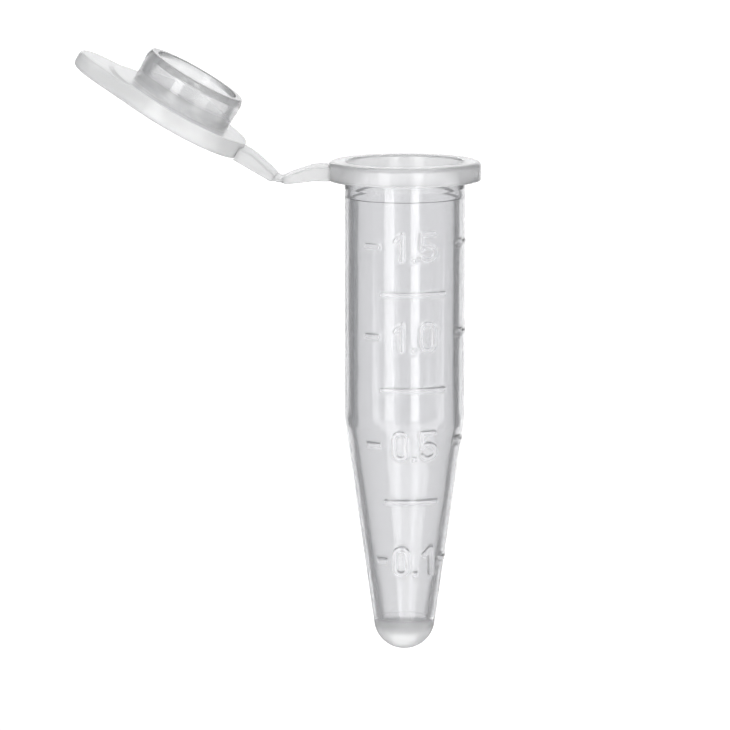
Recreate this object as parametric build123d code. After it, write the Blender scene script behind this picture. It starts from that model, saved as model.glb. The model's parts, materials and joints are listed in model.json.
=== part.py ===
from build123d import *
from math import asin, atan2, cos, hypot, radians, sin
import os

# Snap-cap microcentrifuge tube, 1.5 ml, moulded in one shot of polypropylene:
# a thin tube with a conical end, a strap that leaves its rim, and a cap that
# folds over on the strap and plugs the mouth.
#
# Frame: millimetres. Z is the tube's axis and points up through the mouth, and
# z = 0 is the underside of the rim, where the tube hangs in a rack. The strap
# leaves towards -X, and the graduations face -Y. Everything is modelled as it
# rests, with the cap swung open.

# ---- driving dimensions -------------------------------------------------

# tube
barrel_diameter = 10.6
barrel_length = 21.05
cone_length = 18.05
tip_radius = 2.70
wall = 0.9
inner_corner_drop = 0.65
tip_side_wall = 0.7
tip_floor = 1.65
floor_corner = 1.1

# rim and the seat that takes the plug
rim_overhang = 1.45
rim_height = 1.65
rim_top_round = 0.45
rim_under_round = 0.12
collar_bore_step = 0.2
seat_wall = 0.46
seat_taper_depth = 2.4
seat_depth = 3.15
seat_run_out = 0.1
mouth_round = 0.15

# cap, modelled shut: its sealing face is z = 0 and its plug points down
cap_thickness = 1.65
cap_edge_round = 0.4
tab_length = 3.2
tab_nose_radius = 4.0
tab_thickness = 1.45
tab_edge_round = 0.4
tab_root_inset = 0.3

# plug
plug_waist = 0.10
plug_seal_depth = 2.45
plug_length = 3.05
plug_lead_in = 0.22
plug_wall = 0.75
plug_mouth_round = 0.2

# clearances
seal_clearance = 0.08
mouth_clearance = 0.34

# strap: a band folded across its middle by a film hinge
strap_width = 4.2
strap_root_thickness = 1.2
tube_strap_length = 4.3
cap_strap_length = 4.1
flex_inset = 3.1
flex_height = 0.35
flex_gap = 0.35
fold_height = 0.4
web_thickness = 0.3
web_half_length = 0.3
link_end_low = 0.22
link_end_high = 0.50
groove_run = 0.35
notch_run = 1.0
notch_height = 0.76
strap_droop = 7.0
cap_open_angle = 150.0

# graduations, raised on the wall, at heights above the tip's end
mark_raise = 0.16
line_height = 0.42
tick_height = 0.5
number_height = 2.75
digit_width = 1.55
digit_stroke = 0.42
digit_pitch = 1.19
number_shift = 1.15
line_span = (-20.5, 46.5)
left_tick_span = (-37.5, -20.5)
right_tick_span = (61.5, 95.5)
numbered_fill_heights = {"1.5": 36.4, "1.0": 28.45, "0.5": 18.8, "0.1": 8.3}
plain_fill_heights = (32.2, 23.75, 13.7)

# ---- sizes worked out from them -----------------------------------------

barrel_radius = barrel_diameter / 2
bore_radius = barrel_radius - wall
rim_radius = barrel_radius + rim_overhang
cone_top_z = -barrel_length
tip_centre_z = -barrel_length - cone_length
tip_z = tip_centre_z - tip_radius
inner_corner_z = cone_top_z - inner_corner_drop
inner_tip_radius = tip_radius - tip_side_wall
floor_z = tip_z + tip_floor
floor_flat_radius = inner_tip_radius - floor_corner
tip_top_z = floor_z + floor_corner + 0.3 * inner_tip_radius
collar_bore_radius = barrel_radius + collar_bore_step
seat_end_z = rim_height - seat_depth
seat_run_out_z = seat_end_z - seat_run_out
seat_low_radius = barrel_radius - seat_wall
plug_seal_radius = seat_low_radius - seal_clearance
plug_base_radius = plug_seal_radius - plug_waist
seat_mouth_radius = plug_seal_radius + mouth_clearance
tab_reach = rim_radius + tab_length
tube_reach = rim_radius + tube_strap_length
cap_reach = rim_radius + cap_strap_length


def turned(point, pivot, angle):
    """Turn (x, z) about a pivot by angle degrees, with +X turning towards +Z."""
    dx = point[0] - pivot[0]
    dz = point[1] - pivot[1]
    c = cos(radians(angle))
    s = sin(radians(angle))
    return (pivot[0] + dx * c - dz * s, pivot[1] + dx * s + dz * c)


# The strap's three pivots, at rest: where it leaves the rim, at its fold, and
# where it joins the cap.
root_pivot = (flex_inset - tube_reach, flex_height)
fold_pivot = turned((-tube_reach, fold_height), root_pivot, strap_droop)
cap_frame_fold = (-cap_reach, cap_thickness - fold_height)
cap_frame_pivot = (flex_inset - cap_reach, cap_thickness - flex_height)


def cap_to_rest(point):
    """Where a point (x, z) of the shut cap's own frame lies with the cap open."""
    moved = (
        point[0] - cap_frame_fold[0] + fold_pivot[0],
        point[1] - cap_frame_fold[1] + fold_pivot[1],
    )
    return turned(moved, fold_pivot, cap_open_angle)


def open_cap(solid):
    """Place a solid of the shut cap's own frame where the open cap rests."""
    home = Pos(-cap_frame_fold[0], 0, -cap_frame_fold[1])
    away = Pos(fold_pivot[0], 0, fold_pivot[1])
    return away * Rot(0, -cap_open_angle, 0) * home * solid


# ---- shared shapes ------------------------------------------------------


def tangent_point(corner, centre_z, radius):
    """Where the line from corner (r, z) touches the lower side of an end sphere."""
    run = corner[1] - centre_z
    slope = atan2(corner[0], run) - asin(radius / hypot(corner[0], run))
    return (radius * cos(slope), centre_z - radius * sin(slope))


def outer_radius(z):
    """Outside radius of the barrel or the cone at height z."""
    if z >= cone_top_z:
        return barrel_radius
    foot = tangent_point((barrel_radius, cone_top_z), tip_centre_z, tip_radius)
    part_way = (cone_top_z - z) / (cone_top_z - foot[1])
    return barrel_radius + part_way * (foot[0] - barrel_radius)


def outer_body():
    """The tube's outside below the rim, as one solid of revolution."""
    foot = tangent_point((barrel_radius, cone_top_z), tip_centre_z, tip_radius)
    side = Polyline((0, rim_height), (barrel_radius, rim_height), (barrel_radius, cone_top_z), foot)
    middle = tip_radius * cos(radians(45))
    nose = ThreePointArc(foot, (middle, tip_centre_z - middle), (0, tip_z))
    axis_line = Line((0, tip_z), (0, rim_height))
    return revolve(Plane.XZ * make_face([side, nose, axis_line]), Axis.Z)


def inner_space():
    """The space inside: plug seat, bore, cone and round-cornered floor, as one solid."""
    corner_z = floor_z + floor_corner
    reach = bore_radius - floor_flat_radius
    touch = tangent_point((reach, inner_corner_z), corner_z, floor_corner)
    foot = (floor_flat_radius + touch[0], touch[1])
    side = Polyline(
        (0, rim_height),
        (seat_mouth_radius + mouth_round, rim_height),
        (seat_mouth_radius, rim_height - mouth_round),
        (seat_low_radius, rim_height - seat_taper_depth),
        (seat_low_radius, seat_end_z),
        (bore_radius, seat_run_out_z),
        (bore_radius, inner_corner_z),
        foot,
    )
    middle = floor_corner * cos(radians(45))
    floor_edge = (floor_flat_radius, floor_z)
    corner = ThreePointArc(foot, (floor_flat_radius + middle, corner_z - middle), floor_edge)
    floor = Line(floor_edge, (0, floor_z))
    axis_line = Line((0, floor_z), (0, rim_height))
    return revolve(Plane.XZ * make_face([side, corner, floor, axis_line]), Axis.Z)


def slab(low_z, high_z):
    """A wide block between two heights, to cut a length out of the tube."""
    width = 4 * rim_radius
    block = Box(width, width, high_z - low_z)
    return Pos(0, 0, (low_z + high_z) / 2) * block


def tube_length(low_z, high_z):
    """The tube's wall between two heights."""
    return (outer_body() & slab(low_z, high_z)) - inner_space()


def extruded_strap(outline):
    """A closed (x, z) outline drawn out across the strap's width."""
    face = Plane.XZ * make_face(Polyline(*outline, close=True))
    return extrude(face, strap_width / 2, both=True)


# ---- tube ---------------------------------------------------------------


def rim_collar():
    """The flat collar round the mouth, with its rounded top edge."""
    collar = Pos(0, 0, rim_height / 2) * Cylinder(rim_radius, rim_height)
    collar = fillet(collar.edges().filter_by(GeomType.CIRCLE).sort_by(Axis.Z)[-1], rim_top_round)
    collar = fillet(collar.edges().filter_by(GeomType.CIRCLE).sort_by(Axis.Z)[0], rim_under_round)
    return collar - Pos(0, 0, rim_height / 2) * Cylinder(collar_bore_radius, rim_height)


def sealing_seat():
    """The mouth's own wall, inside the collar and just under it, that the plug seals against."""
    inside_collar = Pos(0, 0, rim_height / 2) * Cylinder(collar_bore_radius, rim_height)
    under_collar = outer_body() & slab(seat_run_out_z, 0)
    return (inside_collar + under_collar) - inner_space()


def barrel():
    """The straight barrel."""
    return tube_length(cone_top_z, seat_run_out_z)


def cone():
    """The conical length."""
    return tube_length(tip_top_z, cone_top_z)


def round_tip():
    """The thick round end, with its round-cornered floor inside."""
    return tube_length(tip_z - 1, tip_top_z)


def skin_section(low_z, high_z):
    """Half section of a thin skin on the wall, as thick as the marks stand out."""
    heights = [low_z, high_z]
    if low_z < cone_top_z < high_z:
        heights.insert(1, cone_top_z)
    inside = [(outer_radius(z), z) for z in heights]
    outside = [(radius + mark_raise, z) for radius, z in reversed(inside)]
    return Plane.XZ * make_face(Polyline(*inside, *outside, close=True))


def mark_band(fill_height, height, span):
    """A raised bar on the wall, between two angles counted from -Y towards +X."""
    z = tip_z + fill_height
    bar = revolve(skin_section(z - height / 2, z + height / 2), Axis.Z, span[1] - span[0])
    return Rot(0, 0, span[0] - 90) * bar


def volume_lines():
    """Every raised line and tick."""
    bars = [mark_band(level, line_height, line_span) for level in plain_fill_heights]
    for level in numbered_fill_heights.values():
        bars.append(mark_band(level, tick_height, left_tick_span))
        bars.append(mark_band(level, tick_height, right_tick_span))
    return Compound(bars)


def digit_one():
    """A 1 centred on the origin, as a flat shape."""
    half = number_height / 2
    stem = Pos(digit_stroke / 2, 0) * Rectangle(digit_stroke, number_height)
    flag = Polyline(
        (digit_stroke / 2, half),
        (-0.3 * digit_width, half - 0.45 * digit_width),
        (-0.3 * digit_width, half - 0.45 * digit_width - digit_stroke),
        (digit_stroke / 2, half - 1.2 * digit_stroke),
        close=True,
    )
    return stem + make_face(flag)


def digit_zero():
    """A 0 centred on the origin, as a flat shape."""
    outer = Ellipse(digit_width / 2, number_height / 2)
    inner = Ellipse(digit_width / 2 - digit_stroke, number_height / 2 - digit_stroke)
    return outer - inner


def digit_five():
    """A 5 centred on the origin, as a flat shape."""
    half = number_height / 2
    bowl_radius = 0.56 * digit_width
    bowl_centre_z = bowl_radius - half
    bowl = Circle(bowl_radius) - Circle(bowl_radius - digit_stroke)
    gap = Pos(-bowl_radius, 0.1 * bowl_radius) * Rectangle(2 * bowl_radius - 0.1, 1.15 * bowl_radius)
    bowl = Pos(0, bowl_centre_z) * (bowl - gap)
    left = -digit_width / 2
    top_bar = Pos(0, half - digit_stroke / 2) * Rectangle(digit_width, digit_stroke)
    stem_low = bowl_centre_z + 0.55 * bowl_radius
    stem = Pos(left + digit_stroke / 2, (half + stem_low) / 2) * Rectangle(digit_stroke, half - stem_low)
    bridge_width = bowl_radius * 0.9
    bridge_z = bowl_centre_z + bowl_radius - digit_stroke / 2
    bridge = Pos(left + bridge_width / 2, bridge_z) * Rectangle(bridge_width, digit_stroke)
    return top_bar + stem + bridge + bowl


def raised_number(text, fill_height):
    """A two-digit volume, such as 0.5, raised on the wall beside its tick."""
    shapes = {"0": digit_zero, "1": digit_one, "5": digit_five}
    dot = Pos(0, (digit_stroke - number_height) / 2) * Rectangle(digit_stroke, digit_stroke)
    flat = Sketch() + Pos(-digit_pitch, 0) * shapes[text[0]]()
    flat += dot
    flat += Pos(digit_pitch, 0) * shapes[text[2]]()
    z = tip_z + fill_height
    front = Plane(origin=(number_shift, 0, z), x_dir=(1, 0, 0), z_dir=(0, -1, 0))
    prism = extrude(front * flat, 2 * barrel_radius)
    skin = revolve(skin_section(z - number_height, z + number_height), Axis.Z)
    return (skin & prism).solids()


def volume_numbers():
    """The raised volumes beside the numbered ticks."""
    solids = []
    for text, level in numbered_fill_heights.items():
        solids += raised_number(text, level)
    return Compound(solids)


def strap_root():
    """The block that the strap leaves the rim by."""
    outer_x = root_pivot[0] + flex_gap
    inner_x = -seat_mouth_radius - mouth_round
    outline = [(inner_x, 0), (outer_x, 0), (outer_x, strap_root_thickness), (inner_x, strap_root_thickness)]
    pieces = extruded_strap(outline) - rim_collar()
    return pieces.solids().sort_by(Axis.X)[0]


# ---- strap --------------------------------------------------------------


def link_corners(start):
    """One half of the strap, as (distance from the fold, height above the
    outer face) points: the fold's end first along the inner face, then back."""
    ramp_slope = (strap_root_thickness - notch_height) / (flex_inset - notch_run)
    start_height = notch_height + ramp_slope * (start - notch_run)
    return {
        "end_low": (web_half_length, link_end_low),
        "end_high": (web_half_length, link_end_high),
        "notch": (notch_run, notch_height),
        "start_high": (start, start_height),
        "start_low": (start, 0),
        "groove": (web_half_length + groove_run, 0),
    }


def tube_link_point(point):
    """A link corner, placed on the tube's half of the strap at rest."""
    return turned((point[0] - tube_reach, point[1]), root_pivot, strap_droop)


def cap_link_point(point):
    """A link corner, placed on the cap's half of the strap at rest."""
    return cap_to_rest((point[0] - cap_reach, cap_thickness - point[1]))


link_start = flex_inset - flex_gap


def tube_side_bend():
    """The short length that flexes where the strap leaves its root block."""
    corners = link_corners(link_start)
    outer_x = root_pivot[0] + flex_gap
    outline = [
        (outer_x, 0),
        (outer_x, strap_root_thickness),
        tube_link_point(corners["start_high"]),
        tube_link_point(corners["start_low"]),
    ]
    return extruded_strap(outline)


def tube_side_link():
    """The stiff half of the strap on the tube's side."""
    return extruded_strap([tube_link_point(p) for p in link_corners(link_start).values()])


def film_hinge():
    """The thin web across the fold."""
    corners = link_corners(link_start)
    lean = radians((180 - cap_open_angle - strap_droop) / 2)
    inward = (sin(lean), cos(lean))
    reach = web_thickness / 2
    inner = (fold_pivot[0] + inward[0] * reach, fold_pivot[1] + inward[1] * reach)
    outer = (fold_pivot[0] - inward[0] * reach, fold_pivot[1] - inward[1] * reach)
    outline = [
        tube_link_point(corners["end_low"]),
        tube_link_point(corners["end_high"]),
        inner,
        cap_link_point(corners["end_high"]),
        cap_link_point(corners["end_low"]),
        outer,
    ]
    return extruded_strap(outline)


def cap_side_link():
    """The stiff half of the strap on the cap's side."""
    return extruded_strap([cap_link_point(p) for p in link_corners(link_start).values()])


def cap_side_bend():
    """The short length that flexes where the strap joins the cap."""
    corners = link_corners(link_start)
    root_x = cap_frame_pivot[0] + flex_gap
    outline = [
        cap_to_rest((root_x, cap_thickness)),
        cap_to_rest((root_x, cap_thickness - strap_root_thickness)),
        cap_link_point(corners["start_high"]),
        cap_link_point(corners["start_low"]),
    ]
    return extruded_strap(outline)


# ---- cap ----------------------------------------------------------------


def shut_disc():
    """The cap's disc in its own shut frame, with both edges rounded."""
    disc = Pos(0, 0, cap_thickness / 2) * Cylinder(rim_radius, cap_thickness)
    return fillet(disc.edges().filter_by(GeomType.CIRCLE).sort_by(Axis.Z)[-1], cap_edge_round)


def cap_disc():
    """The flat lid that lies on the rim."""
    return open_cap(shut_disc())


def cap_strap_root():
    """The block that the strap joins the cap by."""
    root_x = cap_frame_pivot[0] + flex_gap
    low_z = cap_thickness - strap_root_thickness
    inner_x = -seat_mouth_radius
    outline = [(inner_x, low_z), (root_x, low_z), (root_x, cap_thickness), (inner_x, cap_thickness)]
    return open_cap(extruded_strap(outline) - shut_disc())


def thumb_tab():
    """The tab that a thumb lifts, in line with the strap on the cap's far side."""
    nose_x = tab_reach - tab_nose_radius
    nose = Pos(nose_x, 0) * Circle(tab_nose_radius)
    plan = make_hull((Sketch() + Circle(rim_radius) + nose).edges())
    plate = extrude(plan, tab_thickness)
    plate = fillet(plate.edges().group_by(Axis.Z)[-1] + plate.edges().group_by(Axis.Z)[0], tab_edge_round)
    plate = Pos(0, 0, cap_thickness - tab_thickness) * plate
    leaves_disc_x = rim_radius * (rim_radius - tab_nose_radius) / nose_x
    width = 4 * rim_radius
    beyond = Pos(leaves_disc_x + tab_root_inset + width / 2, 0, 0) * Box(width, width, width)
    return open_cap((plate & beyond) - shut_disc())


def plug_ring():
    """The hollow plug under the cap, widest near its end, where it seals."""
    inner = plug_base_radius - plug_wall
    profile = Polyline(
        (inner, 0),
        (plug_base_radius, 0),
        (plug_seal_radius, -plug_seal_depth),
        (plug_seal_radius - plug_lead_in, -plug_length),
        (inner + plug_mouth_round, -plug_length),
        (inner, plug_mouth_round - plug_length),
        close=True,
    )
    return open_cap(revolve(Plane.XZ * make_face(profile), Axis.Z))


# ---- write the nodes ----------------------------------------------------

nodes = {
    "rim_collar": rim_collar,
    "sealing_seat": sealing_seat,
    "barrel": barrel,
    "cone": cone,
    "round_tip": round_tip,
    "volume_lines": volume_lines,
    "volume_numbers": volume_numbers,
    "strap_root": strap_root,
    "tube_side_bend": tube_side_bend,
    "tube_side_link": tube_side_link,
    "film_hinge": film_hinge,
    "cap_side_link": cap_side_link,
    "cap_side_bend": cap_side_bend,
    "cap_strap_root": cap_strap_root,
    "cap_disc": cap_disc,
    "thumb_tab": thumb_tab,
    "plug_ring": plug_ring,
}

os.makedirs("parts", exist_ok=True)
for name, make in nodes.items():
    export_step(make(), f"parts/{name}.step")

pivots = {"root": root_pivot, "fold": fold_pivot, "cap": cap_to_rest(cap_frame_pivot)}
for name, point in pivots.items():
    print(f"{name} pivot x {point[0]:.4f} z {point[1]:.4f}")
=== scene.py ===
import json
import bpy
import numpy as np
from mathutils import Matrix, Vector


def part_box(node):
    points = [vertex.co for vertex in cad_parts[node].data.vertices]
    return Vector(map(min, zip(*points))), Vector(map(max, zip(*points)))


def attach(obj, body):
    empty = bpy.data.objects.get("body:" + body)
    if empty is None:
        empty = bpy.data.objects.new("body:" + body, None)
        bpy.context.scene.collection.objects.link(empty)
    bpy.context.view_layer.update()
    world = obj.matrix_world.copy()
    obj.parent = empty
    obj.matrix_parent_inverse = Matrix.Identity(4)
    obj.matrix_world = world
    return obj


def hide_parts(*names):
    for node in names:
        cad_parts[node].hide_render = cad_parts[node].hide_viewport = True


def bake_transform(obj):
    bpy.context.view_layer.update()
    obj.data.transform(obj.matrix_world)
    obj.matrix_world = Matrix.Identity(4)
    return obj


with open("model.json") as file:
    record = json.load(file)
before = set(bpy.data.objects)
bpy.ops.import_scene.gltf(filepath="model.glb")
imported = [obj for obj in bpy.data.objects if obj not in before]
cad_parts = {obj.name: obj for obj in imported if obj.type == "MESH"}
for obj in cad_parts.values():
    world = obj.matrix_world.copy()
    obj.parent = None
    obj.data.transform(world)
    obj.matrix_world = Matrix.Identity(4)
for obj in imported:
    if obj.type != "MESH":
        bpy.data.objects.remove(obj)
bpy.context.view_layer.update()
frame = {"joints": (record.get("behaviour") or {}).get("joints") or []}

# The snap-cap tube as it is moulded: one clear shell, a strap and a cap.
# Shapes are worked out in millimetres, and made metres as they become meshes.

MM = 0.001


def node_span(name):
    """Lowest and highest corner of one CAD node, in millimetres."""
    low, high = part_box(name)
    return np.array(low) / MM, np.array(high) / MM


def pivot(joint_name):
    """Where a joint's axis crosses the plane y = 0, as (x, z) in millimetres."""
    joint = next(j for j in frame["joints"] if j["name"] == joint_name)
    return np.array([joint["pos_m"][0], joint["pos_m"][2]]) / MM


# ---- sizes ----------------------------------------------------------------

rim_radius, rim_height = node_span("rim_collar")[1][[1, 2]]
barrel_radius = node_span("barrel")[1][1]
cone_top_z = node_span("barrel")[0][2]
tip_z = node_span("round_tip")[0][2]

wall = 0.9
tip_radius = 2.70
inner_corner_drop = 0.65
tip_side_wall = 0.7
tip_floor = 1.65
floor_corner = 1.1
rim_top_round = 0.45
rim_edge_round = 0.12
under_rim_fillet = 0.12
mouth_chamfer = 0.15
mouth_round = 0.1
seat_taper_round = 0.4
ledge_rounds = (0.02, 0.03)
shoulder_round = 0.6
bore_corner_round = 0.8
seat_taper_depth = 2.4
seat_depth = 3.15
seat_run_out = 0.05
seat_low_radius = 4.84
seat_mouth_radius = 5.10

bore_radius = barrel_radius - wall
tip_centre_z = tip_z + tip_radius
inner_corner_z = cone_top_z - inner_corner_drop
inner_tip_radius = tip_radius - tip_side_wall
inner_floor_z = tip_z + tip_floor
floor_flat_radius = inner_tip_radius - floor_corner

mark_raise = 0.068
mark_edge = 0.26
line_height = 0.42
tick_height = 0.5
digit_height = 2.75
digit_width = 1.55
digit_stroke = 0.42
digit_pitch = 1.19
number_shift = 1.15
line_span = (-20.5, 46.5)
left_tick_span = (-37.5, -20.5)
right_tick_span = (61.5, 95.5)
numbered_fill_heights = {"1.5": 36.4, "1.0": 28.45, "0.5": 18.8, "0.1": 8.3}
plain_fill_heights = (32.2, 23.75, 13.7)

cap_thickness = 1.65
cap_edge_round = 0.4
tab_length = 3.2
tab_nose_radius = 4.0
tab_underside_step = 0.2
plug_base_radius = 4.66
plug_seal_radius = 4.76
plug_seal_depth = 2.45
plug_length = 3.05
plug_lead_in = 0.22
plug_wall = 0.75

strap_width = node_span("tube_side_link")[1][1] * 2
strap_thickness = 1.2
tube_reach = 11.05
cap_reach = 10.85
flex_inset = 3.1
flex_height = 0.35
flex_gap = 0.35
fold_height = 0.4
strap_edge_round = 0.22
joint_gap = 0.01

# How milky the plastic is, from 0 where clear to 1. The lid and the strap are 1.
rim_milkiness = 0.6
tip_milkiness = 0.85
cone_milkiness = 0.06
mark_milkiness = 0.2
plug_milkiness = 0.12


# ---- curves ---------------------------------------------------------------


def smooth(share):
    """0 below 0, 1 above 1, and 3 s squared less 2 s cubed between."""
    share = np.clip(share, 0, 1)
    return share * share * (3 - 2 * share)


def run(start, stop, step=0.7):
    """Points of a straight run, closer near both ends: the k-th of n lies the share
    (1 - cos(pi k / n)) / 2 of the way along it."""
    start = np.asarray(start, float)
    stop = np.asarray(stop, float)
    count = max(4, int(np.ceil(np.linalg.norm(stop - start) / step)))
    share = (1 - np.cos(np.pi * np.arange(count + 1) / count)) / 2
    return start + share[:, None] * (stop - start)


def arc(centre, radius, first, last, count):
    """Points of a circular arc between two angles, in degrees from +r towards +z."""
    angle = np.radians(np.linspace(first, last, count))
    return np.column_stack([centre[0] + radius * np.cos(angle), centre[1] + radius * np.sin(angle)])


def rounded(points, radii, step=0.7):
    """A path through points, each inner corner replaced by the arc of its radius that
    touches both of its sides."""
    points = np.asarray(points, float)
    parts = []
    here = points[0]
    for before, corner, after, radius in zip(points[:-2], points[1:-1], points[2:], radii):
        arrive = (corner - before) / np.linalg.norm(corner - before)
        leave = (after - corner) / np.linalg.norm(after - corner)
        turn = np.arccos(np.clip(arrive @ leave, -1, 1))
        reach = radius * np.tan(turn / 2)
        inward = (leave - arrive) / np.linalg.norm(leave - arrive)
        centre = corner + inward * radius / np.cos(turn / 2)
        spoke = corner - arrive * reach - centre
        side = np.sign(arrive[0] * leave[1] - arrive[1] * leave[0])
        swept = side * np.linspace(0, turn, 3 + int(np.degrees(turn) / 12))[1:-1]
        turned_spoke = [
            spoke[0] * np.cos(swept) - spoke[1] * np.sin(swept),
            spoke[0] * np.sin(swept) + spoke[1] * np.cos(swept),
        ]
        parts.append(run(here, corner - arrive * reach, step))
        parts.append(centre + np.column_stack(turned_spoke))
        here = corner + leave * reach
    parts.append(run(here, points[-1], step))
    return np.concatenate(parts)


def turn_about(point, centre, angle):
    """(x, z) turned about a centre by an angle in radians, +x towards +z."""
    offset = np.asarray(point) - centre
    c, s = np.cos(angle), np.sin(angle)
    turned = [offset[..., 0] * c - offset[..., 1] * s, offset[..., 0] * s + offset[..., 1] * c]
    return centre + np.stack(turned, axis=-1)


# ---- meshes ---------------------------------------------------------------

sharp_degrees = 50


def skin(name, grid):
    """A closed mesh from a grid of points in millimetres: each row is a closed ring, and
    the first and last rows, all in one place, are its two poles."""
    rows, columns = grid.shape[:2]
    rings = grid[1:-1].reshape(-1, 3)
    points = np.concatenate([grid[:1, 0], rings, grid[-1:, 0]]) * MM
    ring = 1 + np.arange((rows - 2) * columns).reshape(rows - 2, columns)
    beside = np.roll(ring, -1, axis=1)
    quads = np.stack([ring[:-1], beside[:-1], beside[1:], ring[1:]], axis=-1).reshape(-1, 4)
    low_pole = np.zeros(columns, int)
    high_pole = np.full(columns, len(points) - 1)
    fans = np.concatenate([
        np.stack([low_pole, beside[0], ring[0]], axis=-1),
        np.stack([high_pole, ring[-1], beside[-1]], axis=-1),
    ])
    corners = np.concatenate([quads[:, [0, 1, 2]], quads[:, [0, 2, 3]], fans])
    a, b, c = points[corners[:, 0]], points[corners[:, 1]], points[corners[:, 2]]
    if np.einsum("ij,ij->i", a, np.cross(b, c)).sum() < 0:
        quads = quads[:, ::-1]
        fans = fans[:, ::-1]
    mesh = bpy.data.meshes.new(name)
    mesh.vertices.add(len(points))
    mesh.vertices.foreach_set("co", points.ravel())
    mesh.loops.add(quads.size + fans.size)
    mesh.loops.foreach_set("vertex_index", np.concatenate([quads.ravel(), fans.ravel()]))
    sides = np.concatenate([np.full(len(quads), 4), np.full(len(fans), 3)])
    mesh.polygons.add(len(sides))
    mesh.polygons.foreach_set("loop_start", np.cumsum(sides) - sides)
    mesh.polygons.foreach_set("loop_total", sides)
    mesh.update(calc_edges=True)
    mesh.validate()
    mesh.polygons.foreach_set("use_smooth", np.ones(len(sides), bool))
    mesh.set_sharp_from_angle(angle=np.radians(sharp_degrees))
    piece = bpy.data.objects.new(name, mesh)
    bpy.context.scene.collection.objects.link(piece)
    return piece


def set_milk(piece, rows):
    """Keeps how milky the plastic is at each grid point, from 0 to 1, on the mesh."""
    flat = np.concatenate([rows[0, :1], rows[1:-1].ravel(), rows[-1, :1]])
    layer = piece.data.attributes.new("milk", "FLOAT", "POINT")
    layer.data.foreach_set("value", np.clip(flat, 0, 1).astype(np.float32))


# ---- graduations ----------------------------------------------------------


def box_distance(u, v, centre, half):
    """How far (u, v) lies outside an upright rectangle, and below 0 inside it."""
    across = np.abs(u - centre[0]) - half[0]
    up = np.abs(v - centre[1]) - half[1]
    return np.hypot(np.maximum(across, 0), np.maximum(up, 0)) + np.minimum(np.maximum(across, up), 0)


def bar_distance(u, v, start, stop):
    """How far (u, v) lies from the line that runs from start to stop."""
    along = np.subtract(stop, start)
    share = ((u - start[0]) * along[0] + (v - start[1]) * along[1]) / (along @ along)
    share = np.clip(share, 0, 1)
    return np.hypot(u - start[0] - share * along[0], v - start[1] - share * along[1])


def arc_distance(u, v, centre, radius, first, last):
    """How far (u, v) lies from an arc that runs anticlockwise from first to last degrees."""
    across, up = u - centre[0], v - centre[1]
    angle = np.mod(np.degrees(np.arctan2(up, across)) - first, 360)
    ends = []
    for degrees in (first, last):
        x = centre[0] + radius * np.cos(np.radians(degrees))
        y = centre[1] + radius * np.sin(np.radians(degrees))
        ends.append(np.hypot(u - x, v - y))
    on_arc = np.abs(np.hypot(across, up) - radius)
    return np.where(angle <= last - first, on_arc, np.minimum(*ends))


half_stroke = digit_stroke / 2
digit_top = digit_height / 2 - half_stroke


def digit_one(u, v):
    """A stem with a short flag at its top, as a distance less half a stroke."""
    stem = bar_distance(u, v, (0.12, -digit_top), (0.12, digit_top))
    flag = bar_distance(u, v, (0.12, digit_top), (-0.42, digit_top - 0.62))
    return np.minimum(stem, flag) - half_stroke


def digit_zero(u, v):
    """A ring at one distance from a short upright line, so an upright oval."""
    oval_radius = digit_width / 2 - half_stroke
    straight = digit_top - oval_radius
    centre_line = bar_distance(u, v, (0, -straight), (0, straight)) - oval_radius
    return np.abs(centre_line) - half_stroke


def digit_five(u, v):
    """A bar, a stem and a bowl that is most of a circle."""
    bowl_radius = 0.64
    bowl_z = bowl_radius - digit_top
    left = -0.5
    bar = bar_distance(u, v, (left, digit_top), (0.55, digit_top))
    stem = bar_distance(u, v, (left, digit_top), (left - 0.05, bowl_z + 0.38))
    bowl = arc_distance(u, v, (0, bowl_z), bowl_radius, -145, 142)
    return np.minimum(np.minimum(bar, stem), bowl) - half_stroke


digits = {"0": digit_zero, "1": digit_one, "5": digit_five}


def mark_rise(angle, radius, z):
    """How far the wall stands out at an angle from the front, in radians, and a height:
    the whole rise inside a mark, none outside, and a smooth edge between."""
    u = radius * np.sin(angle) + 0 * z
    u = np.where(np.cos(angle) > 0, u, 10 * barrel_radius)
    around = radius * angle
    nearest = np.full(np.broadcast(u, z).shape, 1.0)

    def band(fill_height, height, span):
        start, stop = radius * np.radians(span[0]), radius * np.radians(span[1])
        centre = ((start + stop) / 2, tip_z + fill_height)
        return box_distance(around, z, centre, ((stop - start) / 2, height / 2))

    for level in plain_fill_heights:
        nearest = np.minimum(nearest, band(level, line_height, line_span))
    for text, level in numbered_fill_heights.items():
        nearest = np.minimum(nearest, band(level, tick_height, left_tick_span))
        nearest = np.minimum(nearest, band(level, tick_height, right_tick_span))
        v = z - tip_z - level
        point = box_distance(u, v, (number_shift, -digit_top), (half_stroke, half_stroke))
        first = digits[text[0]](u - number_shift + digit_pitch, v)
        last = digits[text[2]](u - number_shift - digit_pitch, v)
        nearest = np.minimum(nearest, np.minimum(point, np.minimum(first, last)))
    return mark_raise * smooth(0.5 - nearest / mark_edge)


# ---- tube -----------------------------------------------------------------


def touch_angle(corner_r, corner_z, centre_z, radius):
    """Angle below +r, in radians, at which the line from a corner touches an end sphere:
    the line's slope from the axis, less the arc sine of radius over distance."""
    drop = corner_z - centre_z
    return np.arctan2(corner_r, drop) - np.arcsin(radius / np.hypot(corner_r, drop))


nose_angle = touch_angle(barrel_radius, cone_top_z, tip_centre_z, tip_radius)
nose_r = tip_radius * np.cos(nose_angle)
nose_z = tip_centre_z - tip_radius * np.sin(nose_angle)
cone_slope = (barrel_radius - nose_r) / (cone_top_z - nose_z)


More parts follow.
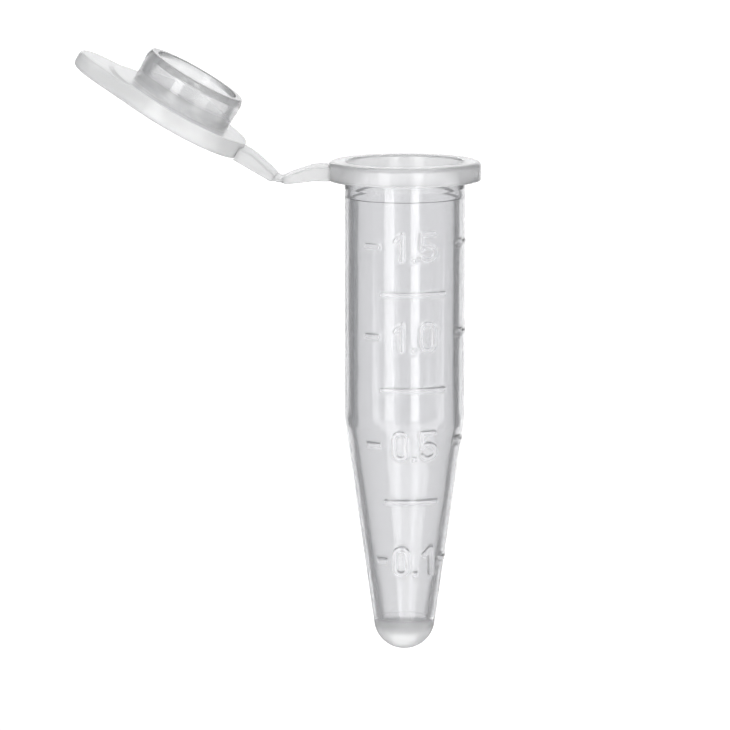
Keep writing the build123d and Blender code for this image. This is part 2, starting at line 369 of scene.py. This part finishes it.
def outer_radius(z):
    """The barrel's radius less the cone's slope times the drop below its top, with a
    parabola over the shoulder in place of the corner."""
    drop = cone_top_z - z
    eased = (drop + shoulder_round) ** 2 / (4 * shoulder_round)
    drop = np.where(drop > shoulder_round, drop, np.where(drop < -shoulder_round, 0, eased))
    return barrel_radius - cone_slope * drop


def side_heights(low, high):
    """Heights up the tube's side: close together across each mark and the shoulder, and
    wide apart elsewhere."""
    parts = [np.arange(low, high, 0.8), np.linspace(-1.8, 1.8, 19) * shoulder_round + cone_top_z]
    for level in numbered_fill_heights.values():
        parts.append(tip_z + level + np.linspace(-0.5, 0.5, 37) * (digit_height + 0.3))
    for level in plain_fill_heights:
        parts.append(tip_z + level + np.linspace(-0.5, 0.5, 11) * (line_height + 0.4))
    heights = np.sort(np.concatenate(parts))
    heights = heights[(heights > low + 0.05) & (heights < high - 0.05)]
    return heights[np.append(True, np.diff(heights) > 0.03)]


def around_angles():
    """Angles from the front, in radians: close together where the marks are."""
    marked = np.linspace(-43, 101, 144)
    plain = np.linspace(101, 317, 66)[1:-1]
    return np.radians(np.concatenate([marked, plain]))


def tube_shell():
    """The tube turned about its axis: out over the tip, up the side, round the rim, down
    the seat and the bore, and in over the floor; the marks add to the side's radius."""
    tip_arc = arc((0, tip_centre_z), tip_radius, -90, -np.degrees(nose_angle), 22)
    under_rim = -0.15
    heights = side_heights(nose_z, under_rim)
    side = np.column_stack([outer_radius(heights), heights])
    mouth_flat = seat_mouth_radius + mouth_chamfer
    rim = rounded(
        [
            (barrel_radius, under_rim),
            (barrel_radius, 0),
            (rim_radius, 0),
            (rim_radius, rim_height),
            (mouth_flat, rim_height),
            (seat_mouth_radius, rim_height - mouth_chamfer),
            (seat_low_radius, rim_height - seat_taper_depth),
            (seat_low_radius, rim_height - seat_depth),
            (bore_radius, rim_height - seat_depth - seat_run_out),
            (bore_radius, cone_top_z),
        ],
        [
            under_rim_fillet,
            rim_edge_round,
            rim_top_round,
            mouth_round,
            mouth_round,
            seat_taper_round,
            *ledge_rounds,
        ],
    )
    corner_z = inner_floor_z + floor_corner
    floor_angle = touch_angle(bore_radius - floor_flat_radius, inner_corner_z, corner_z, floor_corner)
    floor_r = floor_flat_radius + floor_corner * np.cos(floor_angle)
    floor_z = corner_z - floor_corner * np.sin(floor_angle)
    bore = rounded(
        [(bore_radius, cone_top_z), (bore_radius, inner_corner_z), (floor_r, floor_z)],
        [bore_corner_round],
    )
    corner = arc((floor_flat_radius, corner_z), floor_corner, -np.degrees(floor_angle), -90, 18)
    floor = np.concatenate([corner, run(corner[-1], (0, inner_floor_z), 0.2)[1:]])
    profile = np.concatenate([tip_arc, side, rim, bore[1:], floor[1:]])
    angle = around_angles()[None, :]
    radius = profile[:, :1]
    z = profile[:, 1:] + 0 * angle
    rise = np.zeros(z.shape)
    first = len(tip_arc)
    last = first + len(side)
    rise[first:last] = mark_rise(angle, radius[first:last], z[first:last])
    radius = radius + rise
    grid = np.stack([radius * np.sin(angle), -radius * np.cos(angle), z], axis=-1)
    grid[0, :, :2] = 0
    grid[-1, :, :2] = 0
    piece = skin("tube_shell", grid)
    rim_milk = rim_milkiness * smooth((z + 0.5) / 0.9)
    tip_milk = tip_milkiness * smooth((inner_floor_z + 1.5 - z) / 2.0)
    cone_milk = cone_milkiness * smooth((cone_top_z + 1 - z) / 5)
    mark_milk = mark_milkiness * rise / mark_raise
    set_milk(piece, rim_milk + tip_milk + cone_milk + mark_milk)
    return piece


# ---- where the strap and the cap lie ---------------------------------------


def heading(vector):
    """A vector's angle from +x towards +z, in radians."""
    return np.arctan2(vector[1], vector[0])


root_pivot = pivot("strap_root_flex")
fold_pivot = pivot("film_hinge_fold")
cap_pivot = pivot("cap_root_flex")
level_fold = np.array([-tube_reach, fold_height])
shut_fold = np.array([-cap_reach, cap_thickness - fold_height])
shut_cap_pivot = np.array([flex_inset - cap_reach, cap_thickness - flex_height])
droop = heading(fold_pivot - root_pivot) - heading(level_fold - root_pivot)
opened = heading(cap_pivot - fold_pivot) - heading(shut_cap_pivot - shut_fold)


def cap_to_rest(points):
    """Points (x, z) of the shut cap, moved so that its fold is on the strap's, and turned
    about the fold by the angle that the cap is open."""
    return turn_about(points - shut_fold + fold_pivot, fold_pivot, opened)


# ---- cap ------------------------------------------------------------------


def cap_outline(angle):
    """Radius of the cap at an angle from the tab: the outline of a string pulled round the
    disc's circle and the tab's nose circle."""
    nose_x = rim_radius + tab_length - tab_nose_radius
    lean = np.arccos((rim_radius - tab_nose_radius) / nose_x)
    angle = np.abs(angle)
    reach = tab_nose_radius ** 2 - (nose_x * np.sin(angle)) ** 2
    nose = nose_x * np.cos(angle) + np.sqrt(np.maximum(reach, 0))
    tangent = rim_radius / np.maximum(np.cos(angle - lean), 0.1)
    nose_ends = np.arctan2(tab_nose_radius * np.sin(lean), nose_x + tab_nose_radius * np.cos(lean))
    return np.where(angle < nose_ends, nose, np.where(angle < lean, tangent, rim_radius))


def cap_shell():
    """The lid, tab and plug as one skin: out over the top to the outline, round the edge,
    in along the underside, and down and up the plug's wall."""
    angle = np.linspace(-np.pi, np.pi, 217)[None, :-1]
    outline = cap_outline(angle)
    nothing = 0 * angle

    def underside(radius):
        """The tab's underside lies a small step above the lid's."""
        return tab_underside_step * smooth((radius - rim_radius) / 0.35)

    rows = []
    top_share = (1 - np.cos(np.linspace(0, np.pi, 15))) / 2
    for share in top_share:
        rows.append((share * (outline - cap_edge_round), cap_thickness + nothing))
    for swing in np.radians(np.linspace(0, 90, 9))[1:]:
        out = cap_edge_round * (np.sin(swing) - 1)
        rows.append((outline + out, cap_thickness - cap_edge_round * (1 - np.cos(swing)) + nothing))
    low = underside(outline)
    lower_round = 0.08 + 0.3 * smooth((outline - rim_radius) / 1.5)
    for share in (0.1, 0.5, 0.9):
        side_low = low + lower_round
        side_high = cap_thickness - cap_edge_round
        rows.append((outline, side_high + share * (side_low - side_high)))
    for swing in np.radians(np.linspace(0, 90, 7)):
        out = lower_round * (np.cos(swing) - 1)
        rows.append((outline + out, low + lower_round * (1 - np.sin(swing))))
    plug_fillet = 0.18
    plug_corner = plug_base_radius + plug_fillet
    for share in np.linspace(0, 1, 28)[1:-1]:
        radius = outline - lower_round + share * (plug_corner + 0.12 - outline + lower_round)
        rows.append((radius, underside(radius)))
    inner = plug_base_radius - plug_wall
    plug = rounded(
        [
            (plug_corner + 0.1, 0),
            (plug_base_radius, 0),
            (plug_seal_radius, -plug_seal_depth),
            (plug_seal_radius - plug_lead_in, -plug_length),
            (inner, -plug_length),
            (inner, 0),
            (0, 0),
        ],
        [plug_fillet, 0.35, 0.12, 0.08, 0.3],
    )
    for radius, z in plug:
        rows.append((radius + nothing, z + nothing))
    radius = np.concatenate([row[0] for row in rows])
    z = np.concatenate([row[1] for row in rows])
    shut = np.stack([radius * np.cos(angle), z], axis=-1)
    rest = cap_to_rest(shut)
    grid = np.stack([rest[..., 0], radius * np.sin(angle), rest[..., 1]], axis=-1)
    grid[0] = grid[0].mean(axis=0)
    grid[-1] = grid[-1].mean(axis=0)
    piece = skin("cap_shell", grid)
    set_milk(piece, plug_milkiness + (1 - plug_milkiness) * smooth((z + 0.9) / 0.9))
    return piece


# ---- strap ----------------------------------------------------------------

web_half = 0.3
seam_at = 0.45
face_low = [(0, 0.25), (0.3, 0.22), (0.62, 0.0), (12, 0.0)]
face_high = [
    (0, 0.55),
    (0.3, 0.52),
    (1.0, 0.76),
    (2.75, 1.13),
    (3.4, strap_thickness),
    (12, strap_thickness),
]


def eased(distance, corners):
    """Height at a distance from the fold along a bent line, as the mean of nine points
    spread over a fifth of a millimetre, which rounds its corners."""
    x, y = np.transpose(corners)
    nearby = np.linspace(-0.1, 0.1, 9)[:, None]
    return np.interp(np.abs(distance + nearby), x, y).mean(axis=0)


def strap_place(along, height):
    """(x, z) at rest of a strap point, along from -reach at the rim, through 0 at the fold,
    to +reach at the cap: each stretch has a frame of its own, and they blend."""
    away = np.abs(along)
    level = np.stack([away - tube_reach, height], axis=-1)
    drooped = turn_about(level, root_pivot, droop)
    shut = np.stack([away - cap_reach, cap_thickness - height], axis=-1)
    opened_half = cap_to_rest(shut)
    bend = smooth((flex_inset + flex_gap - away) / (2 * flex_gap))[..., None]
    tube_half = level + bend * (drooped - level)
    fold = smooth((along + web_half) / (2 * web_half))[..., None]
    return tube_half + fold * (opened_half - tube_half)


def strap_section(low, high):
    """A rectangle across the strap with rounded corners, as (y, height) from low to high."""
    half = strap_width / 2
    corner = strap_edge_round
    angle = np.radians(np.linspace(0, 90, 6))
    y_corner = np.concatenate([
        half - corner + corner * np.cos(angle),
        -half + corner - corner * np.sin(angle),
        -half + corner - corner * np.cos(angle),
        half - corner + corner * np.sin(angle),
    ])
    rise = corner * np.concatenate([np.sin(angle), np.cos(angle), -np.sin(angle), -np.cos(angle)])
    is_top = np.repeat([1, 1, 0, 0], 6)
    squeeze = np.minimum(1, (high - low)[:, None] / (2.2 * corner))
    top = high[:, None] + squeeze * (rise - corner)
    bottom = low[:, None] + squeeze * (rise + corner)
    return y_corner, np.where(is_top, top, bottom)


def strap_length(name, along, meets_disc=0):
    """A length of strap: its rounded section carried along its path. An end on the rim or
    the lid is hollowed to that circle."""
    low = eased(along, face_low)
    high = eased(along, face_high)
    y, height = strap_section(low, high)
    station = along[:, None] + 0 * height
    if meets_disc:
        radius = rim_radius + joint_gap
        reach = tube_reach if meets_disc < 0 else cap_reach
        curve = reach - np.sqrt(radius ** 2 - y ** 2)
        share = smooth((np.abs(along) - flex_inset - 0.6) / 0.6)[:, None]
        limit = meets_disc * curve[None, :]
        edge = along[0] if meets_disc < 0 else along[-1]
        station = station + share * (limit - edge)
    placed = strap_place(station, height)
    grid = np.stack([placed[..., 0], np.broadcast_to(y, height.shape), placed[..., 1]], axis=-1)
    ends = [np.broadcast_to(row.mean(axis=0), row.shape)[None] for row in (grid[0], grid[-1])]
    piece = skin(name, np.concatenate([ends[0], grid, ends[1]]))
    set_milk(piece, np.ones((len(along) + 2, grid.shape[1])))
    return piece


# ---- materials ------------------------------------------------------------

# Roughness added where the plastic is fully milky.
milk_roughness = 0.12


def node(tree, kind, **values):
    """A shader node with values set on its inputs by name."""
    made = tree.nodes.new(kind)
    for name, value in values.items():
        made.inputs[name.replace("_", " ")].default_value = value
    return made


def polypropylene(name, clarity, milkiness, haze, tint, milk_shade, ripple):
    """Natural polypropylene: tint where it is clear and milk_shade where it is milky, hazed
    by its own crystals, and with the mould's faint ripple."""
    material = bpy.data.materials.new(name)
    material.use_nodes = True
    tree = material.node_tree
    link = tree.links.new
    shader = tree.nodes["Principled BSDF"]
    shader.inputs["IOR"].default_value = 1.49
    shader.inputs["Subsurface Weight"].default_value = 1.0
    shader.inputs["Subsurface Radius"].default_value = (1.0, 1.0, 1.0)
    shader.inputs["Subsurface Scale"].default_value = 1.2 * MM
    where = tree.nodes.new("ShaderNodeTexCoord")
    clouds = node(tree, "ShaderNodeTexNoise", Scale=420.0, Detail=3.0, Roughness=0.55)
    link(where.outputs["Object"], clouds.inputs["Vector"])
    haze_range = tree.nodes.new("ShaderNodeMapRange")
    haze_range.inputs["To Min"].default_value = haze * 0.7
    haze_range.inputs["To Max"].default_value = haze * 1.35
    link(clouds.outputs["Fac"], haze_range.inputs["Value"])
    flow = node(tree, "ShaderNodeTexNoise", Scale=900.0, Detail=2.0, Roughness=0.5)
    stretch = tree.nodes.new("ShaderNodeMapping")
    stretch.inputs["Scale"].default_value = (1, 1, 0.25)
    link(where.outputs["Object"], stretch.inputs["Vector"])
    link(stretch.outputs["Vector"], flow.inputs["Vector"])
    bump = node(tree, "ShaderNodeBump", Strength=ripple, Distance=0.00004)
    link(flow.outputs["Fac"], bump.inputs["Height"])
    link(bump.outputs["Normal"], shader.inputs["Normal"])
    milk = tree.nodes.new("ShaderNodeAttribute")
    milk.attribute_name = "milk"
    clear = tree.nodes.new("ShaderNodeMapRange")
    clear.inputs["To Min"].default_value = clarity
    clear.inputs["To Max"].default_value = clarity - milkiness
    link(milk.outputs["Fac"], clear.inputs["Value"])
    link(clear.outputs["Result"], shader.inputs["Transmission Weight"])
    rougher = tree.nodes.new("ShaderNodeMath")
    rougher.operation = "MULTIPLY_ADD"
    rougher.inputs[1].default_value = milk_roughness
    link(milk.outputs["Fac"], rougher.inputs[0])
    link(haze_range.outputs["Result"], rougher.inputs[2])
    link(rougher.outputs["Value"], shader.inputs["Roughness"])
    colour = tree.nodes.new("ShaderNodeMapRange")
    colour.data_type = "FLOAT_VECTOR"
    vector_in, clear_colour, milk_colour = 6, 9, 10
    colour.inputs[clear_colour].default_value = tint
    colour.inputs[milk_colour].default_value = (milk_shade,) * 3
    milk_on_each = tree.nodes.new("ShaderNodeCombineXYZ")
    for axis in "XYZ":
        link(milk.outputs["Fac"], milk_on_each.inputs[axis])
    link(milk_on_each.outputs["Vector"], colour.inputs[vector_in])
    link(colour.outputs["Vector"], shader.inputs["Base Color"])
    return material


clear_wall = polypropylene(
    "clear_wall", clarity=0.97, milkiness=0.5, haze=0.07, tint=(0.80, 0.80, 0.81), milk_shade=0.92, ripple=0.25
)
milky_band = polypropylene(
    "milky_band", clarity=0.97, milkiness=0.65, haze=0.07, tint=(0.83, 0.83, 0.835), milk_shade=0.77, ripple=0.4
)
milky_lid = polypropylene(
    "milky_lid", clarity=0.97, milkiness=0.5, haze=0.06, tint=(0.84, 0.84, 0.845), milk_shade=0.90, ripple=0.35
)


# ---- build it --------------------------------------------------------------

rim_end = -(tube_reach - rim_radius)
lid_end = cap_reach - rim_radius
tube = tube_shell()
cap = cap_shell()
rim_strap = strap_length("strap_rim_length", np.linspace(rim_end, -seam_at, 48), -1)
fold_strap = strap_length("strap_fold_length", np.linspace(-seam_at, seam_at, 66)[1:-1])
cap_strap = strap_length("strap_cap_length", np.linspace(seam_at, lid_end, 48), 1)

tube.data.materials.append(clear_wall)
cap.data.materials.append(milky_lid)
for length in (rim_strap, fold_strap, cap_strap):
    length.data.materials.append(milky_band)


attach(tube, "tube")
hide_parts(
    "rim_collar", "sealing_seat", "barrel", "cone", "round_tip", "volume_lines", "volume_numbers"
)
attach(cap, "cap")
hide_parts("cap_disc", "thumb_tab", "plug_ring")
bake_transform(rim_strap)
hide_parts("strap_root", "tube_side_bend", "tube_side_link")
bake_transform(fold_strap)
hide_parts("film_hinge")
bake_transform(cap_strap)
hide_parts("cap_side_link", "cap_side_bend", "cap_strap_root")


# ---- studio ----------------------------------------------------------------


def studio_sheet():
    """A floor that sweeps up into a wall behind: flat, a quarter circle, and upright. Its grey
    paper has a painted glow only behind the tube, so the tube's edges stay dark against it."""
    floor_z = -160.0
    wall_y = 900.0
    sweep = 300.0
    line = np.concatenate([
        run((-900, floor_z), (wall_y - sweep, floor_z), 150),
        arc((wall_y - sweep, floor_z + sweep), sweep, -90, 0, 24)[1:],
        run((wall_y, floor_z + sweep), (wall_y, 900), 150)[1:],
    ])
    across = np.linspace(-800, 800, 9)
    y = line[:, 0][:, None] + 0 * across
    z = line[:, 1][:, None] + 0 * across
    x = across[None, :] + 0 * y
    points = np.stack([x, y, z], axis=-1).reshape(-1, 3) * MM
    index = np.arange(len(points)).reshape(x.shape)
    faces = np.stack([index[:-1, :-1], index[:-1, 1:], index[1:, 1:], index[1:, :-1]], axis=-1)
    mesh = bpy.data.meshes.new("studio_sheet")
    mesh.from_pydata(points.tolist(), [], faces.reshape(-1, 4).tolist())
    mesh.polygons.foreach_set("use_smooth", np.ones(len(mesh.polygons), bool))
    sheet = bpy.data.objects.new("studio_sheet", mesh)
    bpy.context.scene.collection.objects.link(sheet)
    # Grey paper that a painted glow, its own emission and not a lamp, makes white behind the tube.
    paper = bpy.data.materials.new("paper_with_painted_glow")
    paper.use_nodes = True
    shader = paper.node_tree.nodes["Principled BSDF"]
    link = paper.node_tree.links.new
    shader.inputs["Base Color"].default_value = (0.62, 0.62, 0.62, 1)
    shader.inputs["Roughness"].default_value = 0.9
    shader.inputs["Emission Color"].default_value = (1, 1, 1, 1)
    where = paper.node_tree.nodes.new("ShaderNodeTexCoord")
    split = paper.node_tree.nodes.new("ShaderNodeSeparateXYZ")
    sideways = paper.node_tree.nodes.new("ShaderNodeMath")
    sideways.operation = "ABSOLUTE"

    def eased_range(start, stop, first, last):
        """A node that goes smoothly from first at start, in metres, to last at stop."""
        made = paper.node_tree.nodes.new("ShaderNodeMapRange")
        made.interpolation_type = "SMOOTHSTEP"
        made.inputs["From Min"].default_value = start
        made.inputs["From Max"].default_value = stop
        made.inputs["To Min"].default_value = first
        made.inputs["To Max"].default_value = last
        return made

    # Painted glow: the paper glows only far behind the tube and near the middle, fading out sideways and
    # towards the front.
    fade = eased_range(0.32, 0.42, 1.0, 0.0)
    behind = eased_range(0.45, 0.60, 0.0, 0.74)
    glow = paper.node_tree.nodes.new("ShaderNodeMath")
    glow.operation = "MULTIPLY"
    link(where.outputs["Object"], split.inputs["Vector"])
    link(split.outputs["X"], sideways.inputs[0])
    link(sideways.outputs["Value"], fade.inputs["Value"])
    link(split.outputs["Y"], behind.inputs["Value"])
    link(fade.outputs["Result"], glow.inputs[0])
    link(behind.outputs["Result"], glow.inputs[1])
    link(glow.outputs["Value"], shader.inputs["Emission Strength"])
    mesh.materials.append(paper)


def softbox(name, place, aim, width, height, power):
    """A rectangular lamp at a place, in millimetres, facing a point."""
    lamp = bpy.data.lights.new(name, "AREA")
    lamp.shape = "RECTANGLE"
    lamp.size = width * MM
    lamp.size_y = height * MM
    lamp.energy = power
    stand = bpy.data.objects.new(name, lamp)
    stand.location = Vector(place) * MM
    stand.rotation_euler = (Vector(aim) - Vector(place)).to_track_quat("-Z", "Y").to_euler()
    bpy.context.scene.collection.objects.link(stand)


def camera():
    """A long lens, a little above level, that takes in the tube and the open cap."""
    target = Vector((-3.50, 0, -16.50))
    elevation = np.radians(8.0)
    azimuth = np.radians(4.0)
    distance = 600.0
    lens = bpy.data.cameras.new("camera")
    lens.lens = 335
    lens.sensor_width = 36
    lens.clip_start = 0.01
    stand = bpy.data.objects.new("camera", lens)
    level = np.cos(elevation)
    away = Vector((level * np.sin(azimuth), -level * np.cos(azimuth), np.sin(elevation))) * distance
    stand.location = (target + away) * MM
    stand.rotation_euler = (-away).to_track_quat("-Z", "Y").to_euler()
    bpy.context.scene.collection.objects.link(stand)
    bpy.context.scene.camera = stand


def surroundings():
    """An even grey all round, which the wall's edges bend into view as darker bands."""
    world = bpy.data.worlds.new("studio_air")
    world.use_nodes = True
    background = world.node_tree.nodes["Background"]
    background.inputs["Color"].default_value = (0.38, 0.385, 0.395, 1)
    background.inputs["Strength"].default_value = 1.0
    bpy.context.scene.world = world
    bpy.context.scene.view_settings.view_transform = "Standard"


studio_sheet()
softbox("left_softbox", (-260, -520, 60), (0, 0, -12), 190, 420, 1.0)
softbox("right_softbox", (230, -520, 60), (0, 0, -12), 170, 420, 0.8)
# Width of each low lamp, in millimetres, and its power, in watts. All five have one
# centre, so together they are brightest in the middle and fade to both sides.
low_powers = {110: 0.03, 220: 0.08, 400: 0.17, 700: 0.33, 1200: 0.55}
for width, power in low_powers.items():
    softbox(f"low_softbox_{width}", (40, -180, -106), (0, 0, -25), width, 60, power)
softbox("top_softbox", (0, -60, 420), (0, 0, 0), 500, 500, 0.9)
camera()
surroundings()
